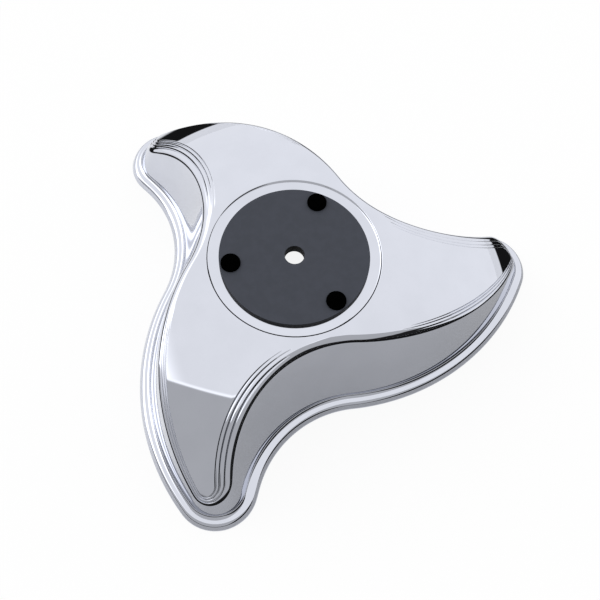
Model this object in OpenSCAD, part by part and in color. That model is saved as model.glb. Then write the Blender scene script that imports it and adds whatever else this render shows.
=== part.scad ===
// Chrome truck hubcap with three swept blades, a dark centre plate and three push rivets.
// The cover is one moulded shell: a flanged foot, a leaning wall, a rimmed ledge and a crowned face.
// The origin lies on the hub axis, in the plane of the foot's bottom edge, and +Z is the outboard side.

/* [Blades] */
// Direction of the first blade's tip from +X, in degrees
blade_turn = 14; // [-60:1:60]
// Facets along half of a tip's arc
tip_steps = 5; // [3:1:8]
// Facets along a hollow between two blades, on each blade's inner side
hollow_steps = 13; // [9:2:21]
// Facets along the short stretch from a hollow's deepest point to the next flank
turn_steps = 4; // [2:1:6]
// Facets across a blade's face
face_steps = 6; // [4:2:12]

/* [Foot outline] */
// Distance of the foot's tip centres from the axis
foot_reach = 101; // [92:1:112]
// Radius of the foot's tips
foot_tip_r = 17.5; // [12:0.5:22]
// Radius of the foot's hollows
foot_hollow_r = 53; // [46:1:60]
// Radius of the foot's long flanks
foot_flank_r = 107; // [98:1:118]
// Heading of the straight behind a foot tip, from that tip's direction
foot_heading = 185.5; // [180:0.5:192]
// Length of that straight
foot_straight = 5; // [1:0.5:9]

/* [Edge outline] */
// How far the upper edge's tips lie inside the foot's
edge_in = 6.6; // [5:0.1:8]
// Angle by which the upper edge's tips lag behind the foot's
edge_lag = 0.7; // [0:0.1:2]
// Radius of the upper edge's tips
edge_tip_r = 9.4; // [7:0.1:12]
// How much wider the upper edge's hollows are than the foot's
edge_wider = 3.5; // [0:0.5:7]
// How much tighter the upper edge's long flanks are than the foot's
edge_tighter = 10; // [6:0.5:14]
// How much further the upper edge turns behind a tip than the foot does
edge_turn = 11.5; // [9:0.1:14]
// Length of the straight behind an upper tip
edge_straight = 3.3; // [1:0.1:6]

/* [Face outline] */
// How far the raised face's tips lie inside the upper edge's
face_in = 2.6; // [1.5:0.1:4]
// Angle by which the face's tips lag behind the upper edge's
face_lag = 0.4; // [0:0.1:1]
// Radius of the raised face's tips
face_tip_r = 3.6; // [2.5:0.1:5]
// How much wider the face's hollows are than the upper edge's
face_wider = 3; // [1:0.5:5]
// How much wider the face's long flanks are than the upper edge's
face_flatter = 1.5; // [-1:0.5:4]
// How much further the face turns behind a tip than the upper edge does
face_turn = 5.6; // [4:0.1:7]
// Length of the straight behind a face tip
face_straight = 0.5; // [0.2:0.1:2]

/* [Heights] */
// Height of the flange's top above the bottom edge
flange_h = 3.6; // [2.5:0.1:6]
// Height of the ledge's level round the hub
ledge_h = 46.9; // [36:0.1:60]
// Rise from the ledge to the face
face_rise = 1.8; // [0.8:0.1:3]
// Radius of the flat middle of the crown
crown_flat_r = 35; // [20:1:40]
// Height of the upper edge at the blade tips
tip_h = 11.9; // [8:0.1:18]

/* [Edges] */
// Outward flare of the flange's lip down to its bottom edge
lip_flare = 1.6; // [0.4:0.1:3]
// Width of the flange's ledge to the foot of the wall
flange_w = 3.6; // [2.5:0.1:6]
// Length that rounds the flange's outer edge
lip_round = 0.6; // [0.2:0.1:1.2]
// Length that rounds the foot of the wall
foot_round = 1.6; // [0.5:0.1:2.5]
// Length that rounds the upper edge
edge_round = 0.9; // [0.3:0.1:1.5]

/* [Shell] */
// Thickness of the moulded wall
wall = 3; // [2:0.1:4]

/* [Centre] */
// Radius of the recess that holds the centre plate, at the face
recess_r = 39.8; // [37:0.1:40.5]
// Depth of the recess below the face's level
recess_d = 1.5; // [1:0.1:2.5]
// Width of the sloped side of the recess
recess_slope = 1.5; // [0.5:0.1:2.5]
// Radius of the centre plate
plate_r = 34.2; // [30:0.1:36]
// Thickness of the centre plate
plate_t = 2.1; // [1.5:0.1:4]
// Radius of the bolt hole through the plate's sleeve
bolt_r = 4.5; // [3:0.1:6]
// Wall of the sleeve round the bolt hole
sleeve_wall = 2; // [1.2:0.1:3]
// Gap between the sleeve and the hole in the cover
sleeve_gap = 0.15; // [0.1:0.05:0.4]

/* [Push rivets] */
// How far the rivets' axes lie inside the plate's rim
rivet_in = 5.1; // [4.9:0.1:9]
// Direction of the first rivet from the first blade's tip
rivet_turn = 59; // [0:1:119]
// Radius of a rivet's head
head_r = 4.5; // [3.8:0.1:4.8]
// Height of a rivet's head above the plate
head_h = 1.3; // [0.8:0.1:2.5]
// Radius of a rivet's shank
shank_r = 2.9; // [2:0.1:3.1]
// Gap between the shank and its holes
shank_gap = 0.1; // [0.05:0.05:0.3]
// Overhang of the barb behind the cover
barb_w = 0.7; // [0.3:0.1:1.2]
// Height of the barb
barb_h = 2.4; // [1.5:0.1:4]

/* [Hidden] */
$fn = 96;
blades = 3;
pitch = 360 / blades;
// Inner and outer side of a blade have equally many facets, so that each rung joins a pair of points
flank_steps = hollow_steps + 1 - turn_steps;
third_n = 2 * tip_steps + 1 + hollow_steps + turn_steps + flank_steps;
ring_n = blades * third_n;
rung_n = tip_steps + 1 + hollow_steps;
// Shares of the band between edge and face where its three treads end and where their risers end
tread_ends = [0.34, 0.71, 0.92];
riser_ends = [0.46, 0.83, 1];
// Share of the rise that each riser takes
riser_parts = [0.42, 0.34, 0.24];
// Shares of a hollow over which the steps fade out, and of a flank over which they grow again
steps_fade = [0.35, 0.75];
steps_grow = [0.2, 0.6];
band_start = 0.2;
riser_middles = (tread_ends + riser_ends) / 2;
band = [band_start, each flat([for (i = [0:2]) [tread_ends[i], riser_middles[i], riser_ends[i]]])];
inner_level = ledge_h - wall;
floor_z = ledge_h + face_rise - recess_d;
plate_top = floor_z + plate_t;
sleeve_r = bolt_r + sleeve_wall;
rivet_reach = plate_r - rivet_in;
arc_cuts = [0.25, 0.5, 0.75];
over = 1;

function polar(r, a) = [r * cos(a), r * sin(a)];
function mix(a, b, t) = a + (b - a) * t;
function smooth(a, b, x) = let (t = min(1, max(0, (x - a) / (b - a)))) t * t * (3 - 2 * t);
function angle(v) = atan2(v.y, v.x);
function lift(p, z) = [p.x, p.y, z];
function flat(lists) = [for (l = lists) each l];

// Centre of the circle that touches a hollow from outside and holds the next tip inside
function flank_centre(hollow, hollow_r, tip, tip_r, flank_r) =
    let (d = norm(tip - hollow), a = flank_r + hollow_r, b = flank_r - tip_r,
        x = (a * a - b * b + d * d) / (2 * d), y = sqrt(a * a - x * x), u = (tip - hollow) / d)
    hollow + x * u + y * [-u.y, u.x];

// Points along an arc with their outward normals, without its first point; side is -1 in a hollow
function arc(centre, r, from, to, n, side) =
    [for (i = [1:n]) let (a = mix(from, to, i / n)) [centre + polar(r, a), side * polar(1, a)]];

// One blade's share of an outline, from its tip arc to the end of its flank, all tangent
function third(at, reach, tip_r, hollow_r, flank_r, heading, straight) =
    let (tip = polar(reach, at), next_tip = polar(reach, at + pitch), h = at + heading,
        out = polar(1, h - 90), tip_end = tip + tip_r * out, hollow_start = tip_end + polar(straight, h),
        hollow = hollow_start + hollow_r * out,
        flank = flank_centre(hollow, hollow_r, next_tip, tip_r, flank_r),
        // Angles on each circle, counted the way the outline runs
        first = angle(next_tip - flank) - pitch, tip_turn = (h - 90 - first) % 360,
        start = h + 90, deep = angle(-hollow), leave = angle(flank - hollow),
        deep_turn = (deep - start) % 360, leave_turn = (leave - deep) % 360,
        flank_start = leave + 180, flank_turn = (first + pitch - flank_start) % 360)
    concat(
        [[tip + polar(tip_r, first), polar(1, first)]],
        arc(tip, tip_r, first, first + (tip_turn + 360) % 360, 2 * tip_steps, 1),
        [[hollow_start, out]],
        arc(hollow, hollow_r, start, start + (deep_turn - 360) % 360, hollow_steps, -1),
        arc(hollow, hollow_r, deep, deep + (leave_turn - 360) % 360, turn_steps, -1),
        arc(flank, flank_r, flank_start, flank_start + (flank_turn + 360) % 360, flank_steps, 1));

// A closed outline of all blades; each third's last point is the next one's first
function outline(lag, reach, tip_r, hollow_r, flank_r, heading, straight) =
    flat([for (b = [0:blades - 1])
        let (t = third(blade_turn - lag + b * pitch, reach, tip_r, hollow_r, flank_r, heading, straight))
        [for (i = [0:third_n - 1]) t[i]]]);

foot = outline(0, foot_reach, foot_tip_r, foot_hollow_r, foot_flank_r, foot_heading, foot_straight);
// The upper edge follows the foot, and the face follows the upper edge
edge_hollow_r = foot_hollow_r + edge_wider;
edge_flank_r = foot_flank_r - edge_tighter;
edge_heading = foot_heading + edge_turn;
edge_reach = foot_reach + foot_tip_r - edge_in - edge_tip_r;
edge = outline(edge_lag, edge_reach, edge_tip_r, edge_hollow_r, edge_flank_r, edge_heading, edge_straight);
face = outline(edge_lag + face_lag, edge_reach + edge_tip_r - face_in - face_tip_r, face_tip_r,
    edge_hollow_r + face_wider, edge_flank_r + face_flatter, edge_heading + face_turn, face_straight);

// The crown falls away on an arc that reaches the height of the blade tips where the upper edge ends
crown_reach = edge_reach + edge_tip_r - crown_flat_r;
crown_drop = ledge_h - tip_h;
crown_r = (crown_reach * crown_reach + crown_drop * crown_drop) / (2 * crown_drop);

// How far the crown has fallen at a distance from the axis
function fall(r) = let (d = max(0, r - crown_flat_r)) crown_r - sqrt(crown_r * crown_r - d * d);
function on_crown(p, level) = lift(p, level - fall(norm(p)));

// Share of a blade's stepped rim at point i, against the soft shoulder of the hollows
function stepped(i) =
    let (k = i % third_n, h = (k - 2 * tip_steps - 1) / (hollow_steps + turn_steps),
        f = (k - 2 * tip_steps - 1 - hollow_steps - turn_steps) / flank_steps)
    h < 0 ? 1 : f < 0 ? 1 - smooth(steps_fade[0], steps_fade[1], h) : smooth(steps_grow[0], steps_grow[1], f);
// Rise across the band at share t: three treads and risers on the blades, a soft shoulder in the hollows
function stepped_rise(t) = riser_parts * [for (i = [0:2]) smooth(tread_ends[i], riser_ends[i], t)];
function shoulder_rise(t) = 1 - (1 - t) * (1 - t);
function rise(i, t) = face_rise * mix(shoulder_rise(t), stepped_rise(t), stepped(i));

// Points that round the corner b between a and c over a length r
function rounded(a, b, c, r) =
    let (p = b + (a - b) * r / norm(a - b), q = b + (c - b) * r / norm(c - b))
    [for (t = [0, each arc_cuts, 1]) mix(mix(p, b, t), mix(b, q, t), t)];

// Outer skin over point i of the outlines, from the bottom edge to the edge of the face
function outer_rib(i) =
    let (n = foot[i][1], lip = foot[i][0], low = lift(lip + lip_flare * n, 0), rim = lift(lip, flange_h),
        root = lift(lip - flange_w * n, flange_h), top = on_crown(edge[i][0], ledge_h),
        inner = [for (t = band) let (p = mix(edge[i][0], face[i][0], t)) on_crown(p, ledge_h + rise(i, t))])
    concat([low], rounded(low, rim, root, lip_round), rounded(rim, root, top, foot_round),
        rounded(root, top, inner[0], edge_round), inner);

// Inner skin under point i, from the bottom edge to the inner corner below the upper edge
function inner_rib(i) =
    let (low = foot[i][0] - (flange_w + wall) * foot[i][1], high = edge[i][0] - wall * edge[i][1])
    [lift(low, 0), on_crown(high, inner_level)];

// Height of the flat roof round the hub, which starts at the deepest points of the hollows
roof_z = inner_rib(tip_steps + rung_n)[1].z;

// Inside points of rung k across blade b, between a pair of points on a closed ring
function rung(ring, b, k, level) =
    let (mid = b * third_n + tip_steps, p = ring[(mid - k + ring_n) % ring_n], q = ring[(mid + k) % ring_n],
        rp = norm([p.x, p.y]), rq = norm([q.x, q.y]), turn = (angle(q) - angle(p) + 720) % 360)
    [for (j = [1:face_steps - 1]) let (t = j / face_steps)
        on_crown(polar(mix(rp, rq, t), angle(p) + turn * t), level)];

// The closed skin of the shell
module shell() {
    outer = [for (i = [0:ring_n - 1]) outer_rib(i)];
    inner = [for (i = [0:ring_n - 1]) inner_rib(i)];
    outer_n = len(outer[0]);
    face_ring = [for (i = [0:ring_n - 1]) outer[i][outer_n - 1]];
    roof_ring = [for (i = [0:ring_n - 1]) inner[i][1]];
    per_face = face_steps - 1;
    face_points = flat([for (b = [0:blades - 1], k = [1:rung_n]) rung(face_ring, b, k, ledge_h + face_rise)]);
    roof_points = flat([for (b = [0:blades - 1], k = [1:rung_n]) rung(roof_ring, b, k, inner_level)]);
    inner_at = ring_n * outer_n;
    face_at = inner_at + 2 * ring_n;
    roof_at = face_at + len(face_points);
    function at_outer(i, s) = (i % ring_n) * outer_n + s;
    function at_inner(i, s) = inner_at + (i % ring_n) * 2 + s;
    // Number of the point j on rung k of blade b; its ends lie on the ring
    function at_rung(b, k, j, first, upper) =
        let (mid = b * third_n + tip_steps)
        j == 0 || j == face_steps || k == 0
            ? let (i = (mid + (j == 0 ? -k : k) + ring_n) % ring_n)
                (upper ? at_outer(i, outer_n - 1) : at_inner(i, 1))
            : first + (b * rung_n + k - 1) * per_face + j - 1;
    function quad(a, b, c, d) = [[a, b, c], [a, c, d]];
    function backward(f) = [for (i = [len(f) - 1:-1:0]) f[i]];
    function blade_tris(first, upper) = flat([
        for (b = [0:blades - 1], k = [0:rung_n - 1], j = [0:face_steps - 1])
        let (p = at_rung(b, k, j, first, upper), q = at_rung(b, k, j + 1, first, upper),
            r = at_rung(b, k + 1, j + 1, first, upper), s = at_rung(b, k + 1, j, first, upper))
        k == 0 ? [[p, s, r]] : quad(p, s, r, q)]);
    function hub_ring(first, upper) =
        flat([for (b = [0:blades - 1]) [for (j = [0:face_steps - 1]) at_rung(b, rung_n, j, first, upper)]]);
    outer_tris = flat([for (i = [0:ring_n - 1], s = [0:outer_n - 2])
        quad(at_outer(i, s), at_outer(i, s + 1), at_outer(i + 1, s + 1), at_outer(i + 1, s))]);
    inner_tris = flat([for (i = [0:ring_n - 1])
        quad(at_inner(i, 0), at_inner(i + 1, 0), at_inner(i + 1, 1), at_inner(i, 1))]);
    sole_tris = flat([for (i = [0:ring_n - 1])
        quad(at_outer(i, 0), at_outer(i + 1, 0), at_inner(i + 1, 0), at_inner(i, 0))]);
    upper_tris = blade_tris(face_at, true);
    roof_tris = [for (t = blade_tris(roof_at, false)) backward(t)];
    polyhedron(
        points = concat(flat(outer), flat(inner), face_points, roof_points),
        faces = concat(outer_tris, inner_tris, sole_tris, upper_tris, roof_tris,
            [backward(hub_ring(face_at, true)), hub_ring(roof_at, false)]),
        convexity = 6);
}

// The recess with its flat floor and sloped side, as the space that it takes out
module recess() {
    face_z = ledge_h + face_rise - fall(recess_r);
    rotate_extrude()
        polygon([[0, floor_z], [recess_r - recess_slope, floor_z], [recess_r, face_z],
            [recess_r + recess_slope, face_z + recess_d], [0, face_z + recess_d]]);
}

module at_rivets() {
    for (b = [0:blades - 1])
        rotate(blade_turn + rivet_turn + b * pitch) translate([rivet_reach, 0, 0]) children();
}

module cover() {
    color("silver") difference() {
        shell();
        recess();
        translate([0, 0, roof_z - over]) cylinder(r = sleeve_r + sleeve_gap, h = floor_z - roof_z + 2 * over);
        at_rivets() translate([0, 0, roof_z - over])
            cylinder(r = shank_r + shank_gap, h = floor_z - roof_z + 2 * over, $fn = 48);
    }
}

module centre_plate() {
    color("dimgray") difference() {
        union() {
            translate([0, 0, floor_z]) cylinder(r = plate_r, h = plate_t);
            translate([0, 0, inner_level]) cylinder(r = sleeve_r, h = floor_z - inner_level + plate_t);
        }
        translate([0, 0, inner_level - over]) cylinder(r = bolt_r, h = plate_top - inner_level + 2 * over);
        at_rivets() translate([0, 0, floor_z - over])
            cylinder(r = shank_r + shank_gap, h = plate_t + 2 * over, $fn = 48);
    }
}

// One push rivet: a flat head on the plate, a shank, and a barb behind the cover
module push_rivet() {
    rotate_extrude($fn = 48)
        polygon([[0, roof_z - barb_h], [shank_r - barb_w, roof_z - barb_h],
            [shank_r + barb_w, roof_z], [shank_r, roof_z], [shank_r, plate_top],
            [head_r, plate_top], [head_r, plate_top + head_h / 2],
            [head_r - head_h / 4, plate_top + head_h], [0, plate_top + head_h]]);
}

module push_rivets() {
    color("black") at_rivets() push_rivet();
}

cover();
centre_plate();
push_rivets();
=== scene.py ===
import math

import bmesh
import bpy
import numpy as np
from mathutils import Matrix, Vector
from mathutils.geometry import delaunay_2d_cdt


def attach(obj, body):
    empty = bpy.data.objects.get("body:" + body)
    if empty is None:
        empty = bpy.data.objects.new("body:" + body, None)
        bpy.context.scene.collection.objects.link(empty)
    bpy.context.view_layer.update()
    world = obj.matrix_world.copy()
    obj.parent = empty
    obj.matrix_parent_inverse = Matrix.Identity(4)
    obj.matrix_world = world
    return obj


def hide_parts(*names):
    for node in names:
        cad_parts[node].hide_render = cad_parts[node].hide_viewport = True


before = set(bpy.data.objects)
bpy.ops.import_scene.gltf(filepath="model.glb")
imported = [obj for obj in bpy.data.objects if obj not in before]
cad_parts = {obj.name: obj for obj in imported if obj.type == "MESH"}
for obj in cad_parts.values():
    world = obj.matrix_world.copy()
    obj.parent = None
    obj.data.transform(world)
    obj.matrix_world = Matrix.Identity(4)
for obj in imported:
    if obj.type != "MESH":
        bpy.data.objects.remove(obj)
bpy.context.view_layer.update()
scene = bpy.context.scene
mm = 0.001
fullTurn = 2 * np.pi

# Sizes of the cover, in millimetres and degrees. The foot, the edge and the face are three swirl
# outlines, one above the other, and the rim is the band between edge and face
coverSizes = {
    "bladeTurn": 14.0,
    "blades": 3,
    "foot": {"lag": 0.0, "reach": 101.0, "tipR": 17.5, "hollowR": 53.0, "flankR": 107.0,
             "heading": 185.5, "straight": 5.0},
    "edge": {"lag": 0.7, "reach": 102.5, "tipR": 9.4, "hollowR": 56.5, "flankR": 97.0,
             "heading": 197.0, "straight": 3.3},
    "face": {"lag": 1.1, "reach": 105.7, "tipR": 3.6, "hollowR": 59.5, "flankR": 98.5,
             "heading": 202.6, "straight": 0.5},
    "blur": 0.07,  # share of a third over which the match of two outlines is smoothed
    "flangeH": 3.6,
    "flangeW": 3.6,
    "lipFlare": 1.6,
    "ledgeH": 46.9,
    "faceRise": 1.8,
    "crownFlatR": 35.0,
    "crownR": 102.0,
    "wall": 3.0,
    "lipRound": 1.6,  # each rounding starts and ends this far from its corner
    "footRound": 1.95,
    "edgeRound": 2.6,
    "edgeShare": 0.27,  # the edge is rounded towards this share of the rim's width
    "edgeLimit": 0.9,  # and takes no more than this of the way there
    # each riser's middle and width are shares of the rim's width, and its height one of faceRise
    "risers": [(0.42, 0.10, 0.42), (0.72, 0.09, 0.34), (0.95, 0.07, 0.24)],
    "grooveD": 0.22,
    "grooveW": 0.05,  # a share of the rim's width
    "grooveEnd": 0.96,  # the grooves fade from here to the face
    "stepsFade": (0.35, 0.75),  # share of the hollow over which the steps fade out
    "stepsGrow": (0.2, 0.6),  # share of the flank over which they come back
    "recessR": 39.8,
    "recessD": 1.5,
    "recessStep": 0.66,  # the steep step at the recess's rim is this wide
    "recessStepD": 0.85,  # and this deep
    "recessSlope": 4.3,  # width of step and gentle slope together
    "recessRounds": (0.34, 0.6, 0.3),
    "recessStrip": 0.8,
}
# How finely the cover is divided: points along the outlines and rows of the skin
coverGrid = {
    "outlinePoints": 1500,
    "matchPoints": 4096,
    "pointsPerSide": 160,
    "lipRows": 9,
    "footRows": 11,
    "edgeRows": 15,
    "flareSteps": 2,
    "wallSteps": 4,
    "bandRows": 9,
    "riserRows": 11,
    "riserSpan": (-1.2, 0.6),  # from the riser's middle, in its widths
    "faceColumns": 32,
    "roofColumns": 8,
}


def polar(radius, angle):
    # radius times the unit vector at an angle
    return np.asarray(radius)[..., None] * np.stack([np.cos(angle), np.sin(angle)], -1)


def angleOf(v):
    # the angle of a vector from the x axis
    return np.arctan2(v[..., 1], v[..., 0])


def arcOf(centre, radius, start, turn, side):
    # centre plus radius times the unit vector at each angle; the normal points out, or in where
    # side is -1
    a = start + turn * np.linspace(0, 1, coverGrid["outlinePoints"])
    return centre + polar(radius, a), side * polar(1.0, a)


def bladeOutline(o, at):
    # one third of a swirl: tip arc, straight, hollow to its deepest point, hollow's rest and flank,
    # all tangent; the flank's centre is where circles round the hollow and the next tip cross
    pitch = fullTurn / coverSizes["blades"]
    tip, nextTip = polar(o["reach"], at), polar(o["reach"], at + pitch)
    heading = at + math.radians(o["heading"])
    out = polar(1.0, heading - np.pi / 2)
    tipEnd = tip + o["tipR"] * out
    hollowStart = tipEnd + polar(o["straight"], heading)
    hollow = hollowStart + o["hollowR"] * out
    outer, inner = o["flankR"] + o["hollowR"], o["flankR"] - o["tipR"]
    apart = np.hypot(*(nextTip - hollow))
    forward = (outer ** 2 - inner ** 2 + apart ** 2) / (2 * apart)
    u = (nextTip - hollow) / apart
    flank = hollow + forward * u + math.sqrt(outer ** 2 - forward ** 2) * np.array([-u[1], u[0]])
    first = angleOf(nextTip - flank) - pitch
    start, deep, leave = heading + np.pi / 2, angleOf(-hollow), angleOf(flank - hollow)
    line = np.linspace(0, 1, coverGrid["outlinePoints"])[:, None]
    return [
        arcOf(tip, o["tipR"], first, (start - np.pi - first) % fullTurn, 1.0),
        (tipEnd + line * (hollowStart - tipEnd), np.tile(out, (len(line), 1))),
        arcOf(hollow, o["hollowR"], start, -((start - deep) % fullTurn), -1.0),
        arcOf(hollow, o["hollowR"], deep, -((deep - leave) % fullTurn), -1.0),
        arcOf(flank, o["flankR"], leave + np.pi, (first + pitch - leave - np.pi) % fullTurn, 1.0),
    ]


def swirl(o):
    # the closed outline as points and normals over arc length, with the arc length at each joint of
    # a third
    blades = coverSizes["blades"]
    parts = bladeOutline(o, math.radians(coverSizes["bladeTurn"] - o["lag"]))
    lengths = np.array([np.hypot(*np.diff(p, axis=0).T).sum() for p, _ in parts])
    joints = np.concatenate([[0], np.cumsum(lengths)])
    s = np.concatenate([joint + length * np.linspace(0, 1, len(p))[:-1]
                        for joint, length, (p, _) in zip(joints, lengths, parts)])
    points, normals = (np.concatenate([part[k][:-1] for part in parts]) for k in (0, 1))
    turns = fullTurn / blades * np.arange(blades)[:, None]
    points, normals = (polar(np.hypot(*v.T), angleOf(v) + turns).reshape(-1, 2)
                       for v in (points, normals))
    return {"s": (s + turns / fullTurn * blades * joints[-1]).ravel(), "points": points,
            "normals": normals, "joints": joints}


def matchedLength(foot, line, share):
    # joints of the two outlines meet; the piecewise straight match is blurred so that the wall has
    # no crease
    n = coverGrid["matchPoints"]
    t = (np.arange(n) + 0.5) / n
    met = np.interp(t * foot["joints"][-1], foot["joints"], line["joints"])
    drift = met / line["joints"][-1] - t
    reach = int(coverSizes["blur"] * n)
    kernel = np.hanning(2 * reach + 1)
    around = np.concatenate([drift[-reach:], drift, drift[:reach]])
    soft = np.convolve(around, kernel / kernel.sum(), "valid")
    return share + np.interp(share % 1, np.concatenate([t - 1, t, t + 1]), np.tile(soft, 3))


def along(line, share):
    # points and normals of an outline at shares of its thirds
    total = line["joints"][-1] * coverSizes["blades"]
    s = np.append(line["s"], total)
    q = (share * line["joints"][-1]) % total
    p, n = (np.stack([np.interp(q, s, np.append(a[:, k], a[0, k])) for k in (0, 1)], 1)
            for a in (line["points"], line["normals"]))
    return p, n / np.linalg.norm(n, axis=1, keepdims=True)


def smooth(a, b, x):
    # nought at a and one at b; between them three times the square of the share less twice its cube
    t = np.clip((x - a) / (b - a), 0, 1)
    return t * t * (3 - 2 * t)


def onCrown(p, level):
    # flat in the middle, then a circle's arc falls away with the distance from the axis
    d = np.clip(np.hypot(p[..., 0], p[..., 1]) - coverSizes["crownFlatR"], 0, None)
    fall = coverSizes["crownR"] - np.sqrt(coverSizes["crownR"] ** 2 - d * d)
    return np.concatenate([p, (level - fall)[..., None]], -1)


def lifted(p, z):
    # flat points with one height for all
    return np.concatenate([p, np.full(p.shape[:-1] + (1,), float(z))], -1)


def straightRun(a, b, count):
    # the points between even steps from a to b
    t = np.linspace(0, 1, count + 1)[1:-1, None]
    return a[:, None] + t * (b - a)[:, None]


def roundedCorner(a, b, c, r, count):
    # a circle's arc from r before the corner b to r after it, as a weighted mean of its ends and
    # the corner
    before, after = ((v - b) / np.linalg.norm(v - b, axis=1, keepdims=True) for v in (a, c))
    half = np.sqrt((1 - (before * after).sum(1)) / 2)[:, None, None]
    t = np.linspace(0, 1, count)[:, None]
    first, middle, last = (1 - t) ** 2, 2 * t * (1 - t) * half, t * t
    total = (first * (b + r * before)[:, None] + middle * b[:, None]
             + last * (b + r * after)[:, None])
    return total / (first + middle + last)


def ringShares():
    # equally many points from a tip's middle to the deepest point of the hollow and on to the next
    # tip's middle
    foot = swirl(coverSizes["foot"])
    joints = foot["joints"] / foot["joints"][-1]
    n = coverGrid["pointsPerSide"]
    tipMiddle, deepest = joints[1] / 2, joints[3]
    third = np.concatenate([np.linspace(tipMiddle, deepest, n + 1)[:-1],
                            np.linspace(deepest, 1 + tipMiddle, n + 1)[:-1]])
    return foot, joints, (third + np.arange(coverSizes["blades"])[:, None]).ravel()


def coverRings():
    # all outlines at matching points, and how much of the stepped rim each point has
    foot, joints, share = ringShares()
    rings = {"foot": along(foot, share)}
    for name in ("edge", "face"):
        line = swirl(coverSizes[name])
        rings[name] = along(line, matchedLength(foot, line, share))
    t = share % 1
    inHollow = (t - joints[2]) / (joints[4] - joints[2])
    inFlank = (t - joints[4]) / (joints[5] - joints[4])
    stepped = np.where(inHollow < 0, 1.0, 1 - smooth(*coverSizes["stepsFade"], inHollow))
    return rings, np.where(inFlank > 0, smooth(*coverSizes["stepsGrow"], inFlank), stepped)


def bandRise(stepped, t):
    # on the blades three risers between flat treads, each with a groove at its foot; in the hollows
    # one soft shoulder
    c = coverSizes
    treads = sum(h * smooth(m - w / 2, m + w / 2, t) for m, w, h in c["risers"])
    grooves = sum(np.exp(-((t - m + w / 2) / c["grooveW"]) ** 2) for m, w, _ in c["risers"])
    shoulder = 1 - (1 - t) ** 2
    rise = c["faceRise"] * (shoulder + stepped[:, None] * (treads - shoulder))
    return rise - c["grooveD"] * stepped[:, None] * grooves * smooth(1, c["grooveEnd"], t)


def bandShares():
    # even steps across the rim, with finer ones over each riser
    g = coverGrid
    span = np.linspace(*g["riserSpan"], g["riserRows"])
    fine = [m + w * span for m, w, _ in coverSizes["risers"]]
    steps = np.concatenate([np.linspace(0, 1, g["bandRows"])] + fine)
    return np.unique(np.clip(steps, 0, 1).round(6))


def coverSkin():
    # a grid with one column for each point of the rings: its rows run from the roof's corner down
    # the inside, across the sole, up the outside and over the rim to the face
    c, g = coverSizes, coverGrid
    rings, stepped = coverRings()
    (lip, n), (edge, edgeN), (face, _) = rings["foot"], rings["edge"], rings["face"]
    low, rim = lifted(lip + c["lipFlare"] * n, 0), lifted(lip, c["flangeH"])
    root, top = lifted(lip - c["flangeW"] * n, c["flangeH"]), onCrown(edge, c["ledgeH"])
    t = bandShares()
    across = edge[:, None] + t[:, None] * (face - edge)[:, None]
    band = onCrown(across, c["ledgeH"] + bandRise(stepped, t[None]))
    skip = int(np.searchsorted(t, c["edgeShare"]))
    tread = np.linalg.norm(band[:, skip] - top, axis=1, keepdims=True)
    soft = np.minimum(c["edgeRound"], c["edgeLimit"] * tread)
    rimArc = roundedCorner(low, rim, root, c["lipRound"], g["lipRows"])
    rootArc = roundedCorner(rim, root, top, c["footRound"], g["footRows"])
    edgeArc = roundedCorner(root, top, band[:, skip], soft, g["edgeRows"])
    flare = straightRun(low, rimArc[:, 0], g["flareSteps"])
    wall = straightRun(rootArc[:, -1], edgeArc[:, 0], g["wallSteps"])
    inner = np.stack([onCrown(edge - c["wall"] * edgeN, c["ledgeH"] - c["wall"]),
                      lifted(lip - (c["flangeW"] + c["wall"]) * n, 0)], 1)
    return np.concatenate([inner, low[:, None], flare, rimArc, rootArc, wall, edgeArc,
                           band[:, skip + 1:]], 1)


def rungGrid(ring, level, columns):
    # across each blade from tip to root: every rung joins two points of the ring by a spiral that
    # is straight in angle and radius, and its height follows the crown
    n = coverGrid["pointsPerSide"]
    mid = 2 * n * np.arange(coverSizes["blades"])[:, None]
    ends = [ring[(mid + side * np.arange(n + 1)) % len(ring)][..., None, :2] for side in (-1, 1)]
    radii = [np.hypot(e[..., 0], e[..., 1]) for e in ends]
    start = angleOf(ends[0])
    turn = (angleOf(ends[1]) - start) % fullTurn
    turn[:, 0] = 0
    t = np.linspace(0, 1, columns + 1)
    return onCrown(polar(radii[0] + t * (radii[1] - radii[0]), start + t * turn), level)


def gridFaces(wide, high, closed=True):
    # quads between neighbouring columns and rows; closed joins the last column to the first
    i = np.arange(wide if closed else wide - 1)[:, None]
    j = np.arange(high - 1)[None]
    a, b = i * high + j, (i + 1) % wide * high + j
    return np.stack([b, b + 1, a + 1, a], -1).reshape(-1, 4).tolist()


def circleAt(centre, radius, z, count=48):
    # centre plus radius times the unit vector at even angles, at one height
    a = np.linspace(0, fullTurn, count, endpoint=False)
    return lifted(np.asarray(centre) + radius * polar(np.ones(count), a), z)


def flatPart(outer, holes):
    # a flat region between an outer loop and its holes, cut into faces that leave the holes open
    openHoles, mergeGap = 5, 1e-6
    loops = [outer] + holes
    points = np.concatenate(loops)
    starts = np.cumsum([0] + [len(loop) for loop in loops]).tolist()
    sides = [list(range(a, b)) for a, b in zip(starts[:-1], starts[1:])]
    corners = [Vector(p) for p in points[:, :2].tolist()]
    made = delaunay_2d_cdt(corners, [], sides, openHoles, mergeGap)
    return lifted(np.array([v[:] for v in made[0]]), points[0, 2]), made[2]


def tubePart(loopA, loopB):
    # the round wall between two loops of equally many points
    return np.stack([loopA, loopB], 1), gridFaces(len(loopA), 2)


def turnedPart(profile, angles):
    # a profile of radius and height, carried round the axis
    rz = np.asarray(profile, float)
    flat = rz[None, :, :1] * polar(np.ones(len(angles)), angles)[:, None]
    heights = np.broadcast_to(rz[None, :, 1:], (len(angles), len(rz), 1))
    return np.concatenate([flat, heights], -1), gridFaces(len(angles), len(rz))


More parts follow.
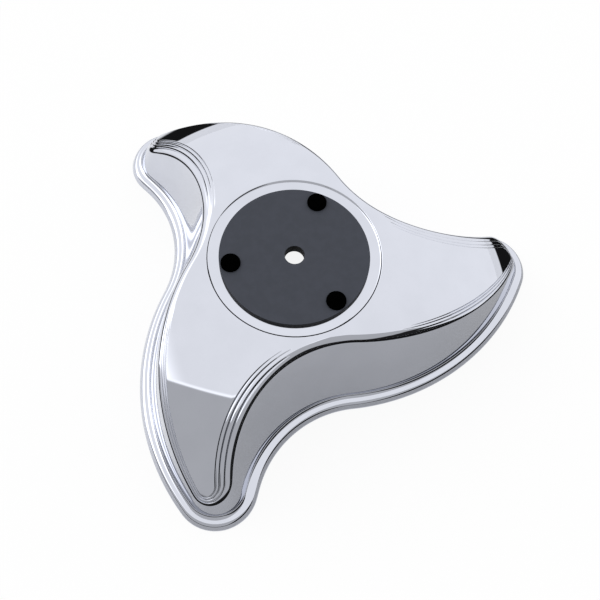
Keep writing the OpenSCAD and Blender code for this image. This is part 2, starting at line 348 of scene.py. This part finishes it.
def softProfile(points, rounds, count=7):
    # each corner with a rounding becomes a short circle's arc
    points = np.asarray(points, float)
    made = [points[:1]]
    for before, corner, after, r in zip(points[:-2], points[1:-1], points[2:], rounds):
        arc = roundedCorner(before[None], corner[None], after[None], r, count)[0]
        made.append(arc if r else corner[None])
    return np.concatenate(made + [points[-1:]])


def closedPiece(name, parts, material, node):
    # all parts become one closed mesh: doubles merged, faces turned outwards, smooth but for sharp
    # corners
    mergeDistance, leastEdge, sharpAngle = 2e-6, 1e-8, 38
    starts = np.cumsum([0] + [np.asarray(p).reshape(-1, 3).shape[0] for p, _ in parts])
    points = np.concatenate([np.asarray(p).reshape(-1, 3) for p, _ in parts]) * mm
    faces = [[v + int(first) for v in face] for first, (_, some) in zip(starts, parts)
             for face in some]
    mesh = bpy.data.meshes.new(name)
    mesh.from_pydata(points.tolist(), [], faces)
    work = bmesh.new()
    work.from_mesh(mesh)
    bmesh.ops.remove_doubles(work, verts=work.verts, dist=mergeDistance)
    bmesh.ops.dissolve_degenerate(work, edges=work.edges, dist=leastEdge)
    bmesh.ops.recalc_face_normals(work, faces=work.faces)
    work.to_mesh(mesh)
    work.free()
    mesh.polygons.foreach_set("use_smooth", np.ones(len(mesh.polygons), bool))
    mesh.set_sharp_from_angle(angle=math.radians(sharpAngle))
    mesh.materials.append(material)
    piece = bpy.data.objects.new(name, mesh)
    scene.collection.objects.link(piece)
    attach(piece, "root")
    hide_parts(node)
    print(name, len(mesh.vertices), "points", len(mesh.polygons), "faces")


# Sizes of the centre plate and the push rivets, in millimetres and degrees
plateSizes = {
    "plateR": 34.2,
    "plateT": 2.1,
    "boltR": 4.5,
    "sleeveWall": 2.0,
    "sleeveGap": 0.15,
    "edgeRound": 0.25,
    "boreRound": 0.2,
    "strip": 1.0,
    "rimPoints": 144,
}
rivetSizes = {
    "reach": 29.1,
    "turn": 59.0,
    "headR": 4.5,
    "headH": 1.3,
    "headRound": 0.5,
    "shankR": 2.9,
    "shankGap": 0.1,
    "barbW": 0.7,
    "barbH": 2.4,
    "barbEndRound": 0.2,
    "barbTipRound": 0.1,
    "points": 72,
}
sleeveEnd = coverSizes["ledgeH"] - coverSizes["wall"]
floorZ = coverSizes["ledgeH"] + coverSizes["faceRise"] - coverSizes["recessD"]
plateTop = floorZ + plateSizes["plateT"]
roofZ = float(coverSkin()[coverGrid["pointsPerSide"], 0, 2])
firstRivet = coverSizes["bladeTurn"] + rivetSizes["turn"]
rivetPlaces = [polar(rivetSizes["reach"], math.radians(firstRivet + 360 / coverSizes["blades"] * k))
               for k in range(coverSizes["blades"])]


def rivetHoles(z):
    # a circle round each rivet's place, a little wider than its shank
    return [circleAt(p, rivetSizes["shankR"] + rivetSizes["shankGap"], z) for p in rivetPlaces]


def coverParts():
    # ring grid, blade faces and roofs, the recess turned round the axis, and the flat floor and
    # roof with their holes
    c, g = coverSizes, coverGrid
    n = g["pointsPerSide"]
    skin = coverSkin()
    parts = [(skin, gridFaces(len(skin), skin.shape[1]))]
    hubs = []
    for ring, level, columns in ((skin[:, -1], c["ledgeH"] + c["faceRise"], g["faceColumns"]),
                                 (skin[:, 0], c["ledgeH"] - c["wall"], g["roofColumns"])):
        blades = rungGrid(ring, level, columns)
        parts += [(blade, gridFaces(n + 1, columns + 1, closed=False)) for blade in blades]
        hubs.append(blades[:, n, :-1].reshape(-1, 3))
    faceHub, roofHub = hubs
    faceZ = onCrown(np.array([c["recessR"], 0.0]), c["ledgeH"] + c["faceRise"])[2]
    foot = c["recessR"] - c["recessSlope"]
    profile = softProfile([
        (np.hypot(*faceHub[0, :2]), faceHub[0, 2]),
        (c["recessR"], faceZ),
        (c["recessR"] - c["recessStep"], faceZ - c["recessStepD"]),
        (foot, floorZ),
        (foot - c["recessStrip"], floorZ),
    ], c["recessRounds"])
    recess, faces = turnedPart(profile, angleOf(faceHub))
    parts += [(recess, faces), tubePart(faceHub, recess[:, 0])]
    sleeveR = plateSizes["boltR"] + plateSizes["sleeveWall"] + plateSizes["sleeveGap"]
    above, below = ([circleAt((0, 0), sleeveR, z)] + rivetHoles(z) for z in (floorZ, roofZ))
    parts += [flatPart(recess[:, -1], above), flatPart(roofHub, below)]
    return parts + [tubePart(a, b) for a, b in zip(above, below)]


def plateParts():
    # the outside turned round the axis, the two flat faces with their holes, and the holes' walls
    p = plateSizes
    around = np.linspace(0, fullTurn, p["rimPoints"], endpoint=False)
    sleeveR = p["boltR"] + p["sleeveWall"]
    rim = softProfile([
        (p["plateR"] - p["strip"], floorZ),
        (p["plateR"], floorZ),
        (p["plateR"], plateTop),
        (p["plateR"] - p["strip"], plateTop),
    ], [p["edgeRound"]] * 2)
    bore = softProfile([
        (sleeveR, floorZ),
        (sleeveR, sleeveEnd),
        (p["boltR"], sleeveEnd),
        (p["boltR"], plateTop),
        (p["boltR"] + p["strip"], plateTop),
    ], [p["boreRound"]] * 3)
    rimGrid, rimFaces = turnedPart(rim, around)
    boreGrid, boreFaces = turnedPart(bore, around[::2])
    above, below = rivetHoles(plateTop), rivetHoles(floorZ)
    return [(rimGrid, rimFaces), (boreGrid, boreFaces),
            flatPart(rimGrid[:, -1], [boreGrid[:, -1]] + above),
            flatPart(rimGrid[:, 0], [boreGrid[:, 0]] + below)
            ] + [tubePart(a, b) for a, b in zip(above, below)]


def rivetParts():
    # one profile for head, shank and barb, turned round each rivet's own axis
    r = rivetSizes
    barbEnd, headTop = roofZ - r["barbH"], plateTop + r["headH"]
    profile = softProfile([
        (0, barbEnd),
        (r["shankR"] - r["barbW"], barbEnd),
        (r["shankR"] + r["barbW"], roofZ),
        (r["shankR"], roofZ),
        (r["shankR"], plateTop),
        (r["headR"], plateTop),
        (r["headR"], headTop),
        (0, headTop),
    ], [r["barbEndRound"], r["barbTipRound"], 0, 0, 0, r["headRound"]])
    grid, faces = turnedPart(profile, np.linspace(0, fullTurn, r["points"], endpoint=False))
    return [(grid + np.append(place, 0), faces) for place in rivetPlaces]


# The photograph's viewpoint: angles in degrees, distance in millimetres from the plate's middle
cameraValues = {
    "turn": 0.3,
    "elevation": 62.924,
    "distance": 417.03,
    "pan": -0.524,
    "tilt": 2.767,
    "roll": 3.916,
    "focalShare": 1.54,
    "sensor": 36.0,
    "nearClip": 10.0,
}


def photoCamera():
    # on an arc over the front, aimed at the plate's middle, then panned, tilted and rolled a little
    v = cameraValues
    up = math.radians(v["elevation"])
    turn = Matrix.Rotation(math.radians(v["turn"]), 4, "Z")
    aim = (Matrix.Rotation(math.pi / 2 - up, 4, "X")
           @ Matrix.Rotation(math.radians(v["pan"]), 4, "Y")
           @ Matrix.Rotation(-math.radians(v["tilt"]), 4, "X")
           @ Matrix.Rotation(math.radians(v["roll"]), 4, "Z"))
    away = Vector((0, -math.cos(up), math.sin(up))) * v["distance"]
    place = turn @ (away + Vector((0, 0, plateTop)))
    camera = bpy.data.objects.new("camera", bpy.data.cameras.new("camera"))
    camera.matrix_world = Matrix.Translation(place * mm) @ turn @ aim
    camera.data.sensor_width = v["sensor"]
    camera.data.lens = v["sensor"] * v["focalShare"]
    camera.data.clip_start = v["nearClip"] * mm
    scene.collection.objects.link(camera)
    scene.camera = camera


# Finishes: two colours that a material drifts between, its roughness from low to high, the size of
# its broad waviness and fine grain in millimetres, the grain's share of the height, how deep the
# surface moves in millimetres, its specular level, and for the plate a painted shade: a near black
# colour painted on its sides and bore, where they face sideways and fall in shade, with the slopes
# between which it fades
finishes = {
    "chromePlating": {"colors": ((0.625, 0.645, 0.714), (0.645, 0.665, 0.736)),
                      "rough": (0.012, 0.03), "metallic": 1.0, "wave": 30.0, "grain": 2.2,
                      "grainShare": 0.01, "depth": 0.005, "specular": 0.5},
    "platePlastic": {"colors": ((0.047, 0.052, 0.067), (0.053, 0.058, 0.075)),
                     "rough": (0.54, 0.64), "metallic": 0.0, "wave": 9.0, "grain": 0.5,
                     "grainShare": 0.7, "depth": 0.012, "specular": 0.2,
                     # painted shade: near black on the plate's sides and bore, where shadow falls
                     "paintedSideShade": (0.004, 0.004, 0.005), "sideShadeFade": (0.4, 0.9)},
    "rivetPlastic": {"colors": ((0.0003, 0.0003, 0.0003), (0.0006, 0.0006, 0.0006)),
                     "rough": (0.45, 0.65), "metallic": 0.0, "wave": 3.0, "grain": 0.4,
                     "grainShare": 0.4, "depth": 0.006, "specular": 0.0},
}
# The noises of a moulded surface: their detail, how much finer the patches are than the waves, the
# grain's share of the roughness, and the band of a noise that is stretched to its full range
mouldedNoise = {
    "waveDetail": 1.0,
    "grainDetail": 3.0,
    "patchDetail": 4.0,
    "patchFiner": 2.3,
    "grainInRough": 0.4,
    "stretch": (0.3, 0.7),
}


def feed(links, socket, value):
    # a number is set on the socket, and a node's output is linked to it
    if isinstance(value, (int, float)):
        socket.default_value = value
    else:
        links.new(value, socket)


def mathNode(tree, operation, *values):
    # one math node whose inputs are numbers or other nodes' outputs
    node = tree.nodes.new("ShaderNodeMath")
    node.operation = operation
    for socket, value in zip(node.inputs, values):
        feed(tree.links, socket, value)
    return node.outputs[0]


def rampNode(tree, value, low, high, start=0.0, end=1.0):
    # a smooth step from start to end while the value goes from low to high
    node = tree.nodes.new("ShaderNodeMapRange")
    node.interpolation_type = "SMOOTHSTEP"
    names = ("Value", "From Min", "From Max", "To Min", "To Max")
    for name, number in zip(names, (value, low, high, start, end)):
        feed(tree.links, node.inputs[name], number)
    return node.outputs["Result"]


def mixedValue(tree, share, first, second):
    # first at a share of nought, second at one; the node's sockets 0, 2 and 3 are the share and the
    # two numbers
    node = tree.nodes.new("ShaderNodeMix")
    for index, value in ((0, share), (2, first), (3, second)):
        feed(tree.links, node.inputs[index], value)
    return node.outputs[0]


def noiseNode(tree, place, scale, detail):
    # fractal noise at a place, with its scale and detail
    node = tree.nodes.new("ShaderNodeTexNoise")
    node.inputs["Detail"].default_value = detail
    tree.links.new(place, node.inputs["Vector"])
    feed(tree.links, node.inputs["Scale"], scale)
    return node.outputs[0]


def axesOf(tree, coordinate):
    # the x, y and z of one of the Texture Coordinate node's outputs
    split = tree.nodes.new("ShaderNodeSeparateXYZ")
    source = tree.nodes.new("ShaderNodeTexCoord").outputs[coordinate]
    tree.links.new(source, split.inputs[0])
    return split.outputs


def mouldedGroup():
    # shared by all finishes: broad waviness and fine grain give a shade, a roughness and a height
    v = mouldedNoise
    group = bpy.data.node_groups.new("mouldedSurface", "ShaderNodeTree")
    for name in ("Wave Scale", "Grain Scale", "Grain Share", "Low Roughness", "High Roughness"):
        group.interface.new_socket(name, in_out="INPUT", socket_type="NodeSocketFloat")
    for name in ("Shade", "Roughness", "Height"):
        group.interface.new_socket(name, in_out="OUTPUT", socket_type="NodeSocketFloat")
    given = group.nodes.new("NodeGroupInput").outputs
    made = group.nodes.new("NodeGroupOutput").inputs
    place = group.nodes.new("ShaderNodeTexCoord").outputs["Object"]
    wave = noiseNode(group, place, given["Wave Scale"], v["waveDetail"])
    grain = noiseNode(group, place, given["Grain Scale"], v["grainDetail"])
    finer = mathNode(group, "MULTIPLY", given["Wave Scale"], v["patchFiner"])
    patch = noiseNode(group, place, finer, v["patchDetail"])
    blend = mixedValue(group, v["grainInRough"], patch, grain)
    rough = rampNode(group, blend, *v["stretch"], given["Low Roughness"], given["High Roughness"])
    group.links.new(rampNode(group, patch, *v["stretch"]), made["Shade"])
    group.links.new(rough, made["Roughness"])
    group.links.new(mixedValue(group, given["Grain Share"], wave, grain), made["Height"])
    return group


def paintSideShade(tree, f, color):
    # painted shade: sides and bores, which face sideways, get a near black colour painted on, as if
    # in shadow; the node's sockets 6 and 7 and its output 2 are colours
    sides = tree.nodes.new("ShaderNodeMix")
    sides.data_type = "RGBA"
    upward = axesOf(tree, "Normal")[2]
    tree.links.new(rampNode(tree, upward, *f["sideShadeFade"]), sides.inputs[0])
    sides.inputs[6].default_value = (*f["paintedSideShade"], 1)
    tree.links.new(color, sides.inputs[7])
    return sides.outputs[2]


def finishMaterial(name, group):
    # a Principled shader whose colour, roughness and bump follow the moulded surface
    f = finishes[name]
    material = bpy.data.materials.new(name)
    material.use_nodes = True
    tree = material.node_tree
    shader = tree.nodes["Principled BSDF"]
    surface = tree.nodes.new("ShaderNodeGroup")
    surface.node_tree = group
    low, high = f["rough"]
    for socket, value in (("Wave Scale", 1 / (f["wave"] * mm)),
                          ("Grain Scale", 1 / (f["grain"] * mm)),
                          ("Grain Share", f["grainShare"]),
                          ("Low Roughness", low),
                          ("High Roughness", high)):
        surface.inputs[socket].default_value = value
    shades = tree.nodes.new("ShaderNodeValToRGB")
    for element, color in zip(shades.color_ramp.elements, f["colors"]):
        element.color = (*color, 1)
    color = shades.outputs["Color"]
    # the plate's sides and bore get a painted shade
    if "paintedSideShade" in f:
        color = paintSideShade(tree, f, color)
    bump = tree.nodes.new("ShaderNodeBump")
    bump.inputs["Distance"].default_value = f["depth"] * mm
    for source, socket in ((surface.outputs["Shade"], shades.inputs["Fac"]),
                           (color, shader.inputs["Base Color"]),
                           (surface.outputs["Roughness"], shader.inputs["Roughness"]),
                           (surface.outputs["Height"], bump.inputs["Height"]),
                           (bump.outputs["Normal"], shader.inputs["Normal"])):
        tree.links.new(source, socket)
    shader.inputs["Metallic"].default_value = f["metallic"]
    shader.inputs["Specular IOR Level"].default_value = f["specular"]
    return material


photoCamera()
print("camera placed")
moulded = mouldedGroup()
chrome, plateBlack, rivetBlack = (finishMaterial(name, moulded) for name in finishes)
print("finishes made")
closedPiece("swirlCover", coverParts(), chrome, "cover")
closedPiece("centrePlate", plateParts(), plateBlack, "centre_plate")
closedPiece("pushRivets", rivetParts(), rivetBlack, "push_rivets")

# The studio: how bright each part of the surroundings is, where 1 shows a colour as written. The
# edges of tent, front and softbox are y or x over height, and those of the belt are parts of a unit
# vector. The cards lie on the floor, where only reflections see them, with sizes in millimetres
studioLight = {
    "lowestHeight": 0.02,
    "tentFar": 1.12,
    "tentTop": 1.08,
    "tentFade": (0.1, 0.9),
    "front": 0.56,
    "frontEdge": -0.385,
    "frontBlur": 0.02,
    "softbox": 2.3,
    "softboxFrom": 0.62,
    "softboxFull": 1.15,
    "softboxEnd": (0.8, 1.6),
    "panelEdge": 1.5,
    "panelEdgeHalf": 0.01,
    "panelEdgeFade": 0.04,
    "beltLevel": 0.02,
    "beltTop": 0.13,
    "beltTopRight": 0.52,
    "beltTopFar": -0.1,
    "beltFarFade": (-0.25, 0.15),
    "beltRightFade": (0.35, 0.65),
    "beltBlur": (-0.03, 0.01),
    "floorSize": 8000.0,
    "floorWhite": 0.97,
    "floorSpecular": 0.1,
    "floorShine": 0.88,
    "floorMirrored": 0.4,
    "paperRough": 0.9,
    "cardShade": 0.01,
    "cardHeight": 0.4,
    "cardFrom": 5.0,
    "cardMargin": 50.0,
    "blackFrom": 142.0,
    "blackFromBlur": 6.0,
    "blackFarEnd": 300.0,
    "blackFrontEnd": 3900.0,
    "blackEndBlur": 20.0,
    "blackFrontFade": (-0.3, 0.3),
    "greyTurn": -50.0,
    "greyFade": (0.1, 0.6),
    "greyAlpha": 0.45,
}


def blurredStep(tree, value, edge, blur, start=0.0, end=1.0):
    # a smooth step from start to end across an edge, from a blur before it to a blur after it
    return rampNode(tree, value, edge - blur, edge + blur, start, end)


def studioWorld():
    # a bright tent over the object, a darker front with a bright panel edge before it, a softbox at
    # the left, and a dark belt near the horizon of the front half, higher at the right; the camera
    # itself sees white
    s = studioLight
    world = bpy.data.worlds.new("studio")
    world.use_nodes = True
    tree = world.node_tree
    x, y, z = axesOf(tree, "Generated")
    height = mathNode(tree, "MAXIMUM", z, s["lowestHeight"])
    forward = mathNode(tree, "DIVIDE", y, height)
    aside = mathNode(tree, "DIVIDE", x, height)
    level = rampNode(tree, forward, *s["tentFade"], s["tentTop"], s["tentFar"])
    left = rampNode(tree, aside, -s["softboxFull"], -s["softboxFrom"], 1.0, 0.0)
    beside = rampNode(tree, forward, *s["softboxEnd"], 1.0, 0.0)
    level = mixedValue(tree, mathNode(tree, "MULTIPLY", left, beside), level, s["softbox"])
    inFront = blurredStep(tree, forward, s["frontEdge"], s["frontBlur"], 1.0, 0.0)
    level = mixedValue(tree, inFront, level, s["front"])
    edgeEnd = s["frontEdge"] + s["panelEdgeHalf"]
    panelEdge = mathNode(tree, "SUBTRACT",
                         blurredStep(tree, forward, s["frontEdge"], s["panelEdgeHalf"]),
                         rampNode(tree, forward, edgeEnd, s["frontEdge"] + s["panelEdgeFade"]))
    level = mixedValue(tree, panelEdge, level, s["panelEdge"])
    facing = rampNode(tree, y, *s["beltFarFade"], 1.0, 0.0)
    right = rampNode(tree, x, *s["beltRightFade"])
    nearTop = mixedValue(tree, right, s["beltTop"], s["beltTopRight"])
    top = mixedValue(tree, facing, s["beltTopFar"], nearTop)
    low = rampNode(tree, mathNode(tree, "SUBTRACT", z, top), *s["beltBlur"], 1.0, 0.0)
    level = mixedValue(tree, low, level, s["beltLevel"])
    seen = tree.nodes.new("ShaderNodeLightPath").outputs["Is Camera Ray"]
    background = tree.nodes["Background"].inputs
    tree.links.new(mixedValue(tree, seen, level, 1.0), background["Strength"])
    background["Color"].default_value = (1, 1, 1, 1)
    return world


def paperShader(name, shade, specular):
    # a new material whose Principled shader is matt paper of one shade
    material = bpy.data.materials.new(name)
    material.use_nodes = True
    paper = material.node_tree.nodes["Principled BSDF"]
    paper.inputs["Base Color"].default_value = (shade, shade, shade, 1)
    paper.inputs["Roughness"].default_value = studioLight["paperRough"]
    paper.inputs["Specular IOR Level"].default_value = specular
    return material, material.node_tree, paper


def floorMaterial():
    # pale paper that takes the shadow; it shows near white to the camera, and with more of its
    # shade in reflections
    s = studioLight
    material, tree, paper = paperShader("floorPaper", s["floorWhite"], s["floorSpecular"])
    rays = tree.nodes.new("ShaderNodeLightPath").outputs
    straight = mathNode(tree, "MAXIMUM", rays["Is Camera Ray"], rays["Is Transmission Ray"])
    mirrored = mathNode(tree, "MULTIPLY", rays["Is Glossy Ray"], s["floorMirrored"])
    shining = mathNode(tree, "MULTIPLY", straight, s["floorShine"])
    glow = tree.nodes.new("ShaderNodeEmission")
    mix = tree.nodes.new("ShaderNodeMixShader")
    for source, socket in ((mathNode(tree, "MAXIMUM", shining, mirrored), mix.inputs[0]),
                           (paper.outputs[0], mix.inputs[1]),
                           (glow.outputs[0], mix.inputs[2]),
                           (mix.outputs[0], tree.nodes["Material Output"].inputs["Surface"])):
        tree.links.new(source, socket)
    return material


def cardMaterial():
    # black from a ring's inner edge to an outer edge that lies further out at the front, and a half
    # clear grey sector inside that outer edge, at the front right
    s = studioLight
    material, tree, paper = paperShader("cardPaper", s["cardShade"], 0.0)
    x, y, _ = axesOf(tree, "Object")
    squares = (mathNode(tree, "MULTIPLY", v, v) for v in (x, y))
    radius = mathNode(tree, "SQRT", mathNode(tree, "ADD", *squares))
    toward = math.radians(s["greyTurn"])
    facing = mathNode(tree, "ADD", mathNode(tree, "MULTIPLY", x, math.cos(toward)),
                      mathNode(tree, "MULTIPLY", y, math.sin(toward)))
    sector = rampNode(tree, mathNode(tree, "DIVIDE", facing, radius), *s["greyFade"])
    front = rampNode(tree, mathNode(tree, "DIVIDE", y, radius), *s["blackFrontFade"], 1.0, 0.0)
    end = mixedValue(tree, front, s["blackFarEnd"] * mm, s["blackFrontEnd"] * mm)
    beyond = mathNode(tree, "SUBTRACT", radius, end)
    inner = blurredStep(tree, radius, s["blackFrom"] * mm, s["blackFromBlur"] * mm)
    outer = blurredStep(tree, beyond, 0.0, s["blackEndBlur"] * mm, 1.0, 0.0)
    black = mathNode(tree, "MULTIPLY", inner, outer)
    grey = mathNode(tree, "MULTIPLY", sector, s["greyAlpha"])
    alpha = mathNode(tree, "MULTIPLY", mathNode(tree, "MAXIMUM", black, grey),
                     mathNode(tree, "MAXIMUM", outer, black))
    tree.links.new(alpha, paper.inputs["Alpha"])
    return material


def flatRing(name, inner, outer, z, material, count=96):
    # a flat ring round the object, between two circles
    grid = np.stack([circleAt((0, 0), r, z, count) for r in (inner, outer)], 1) * mm
    mesh = bpy.data.meshes.new(name)
    mesh.from_pydata(grid.reshape(-1, 3).tolist(), [], gridFaces(count, 2))
    mesh.materials.append(material)
    ring = bpy.data.objects.new(name, mesh)
    scene.collection.objects.link(ring)
    return ring


bpy.ops.mesh.primitive_plane_add(size=studioLight["floorSize"] * mm)
floor = bpy.context.object
floor.name = "floor"
floor.data.materials.append(floorMaterial())
cards = flatRing("floorCards", studioLight["cardFrom"],
                 studioLight["blackFrontEnd"] + studioLight["cardMargin"],
                 studioLight["cardHeight"], cardMaterial())
cards.visible_camera = cards.visible_diffuse = cards.visible_shadow = False
scene.world = studioWorld()
scene.view_settings.view_transform = "Standard"
print("studio lit")
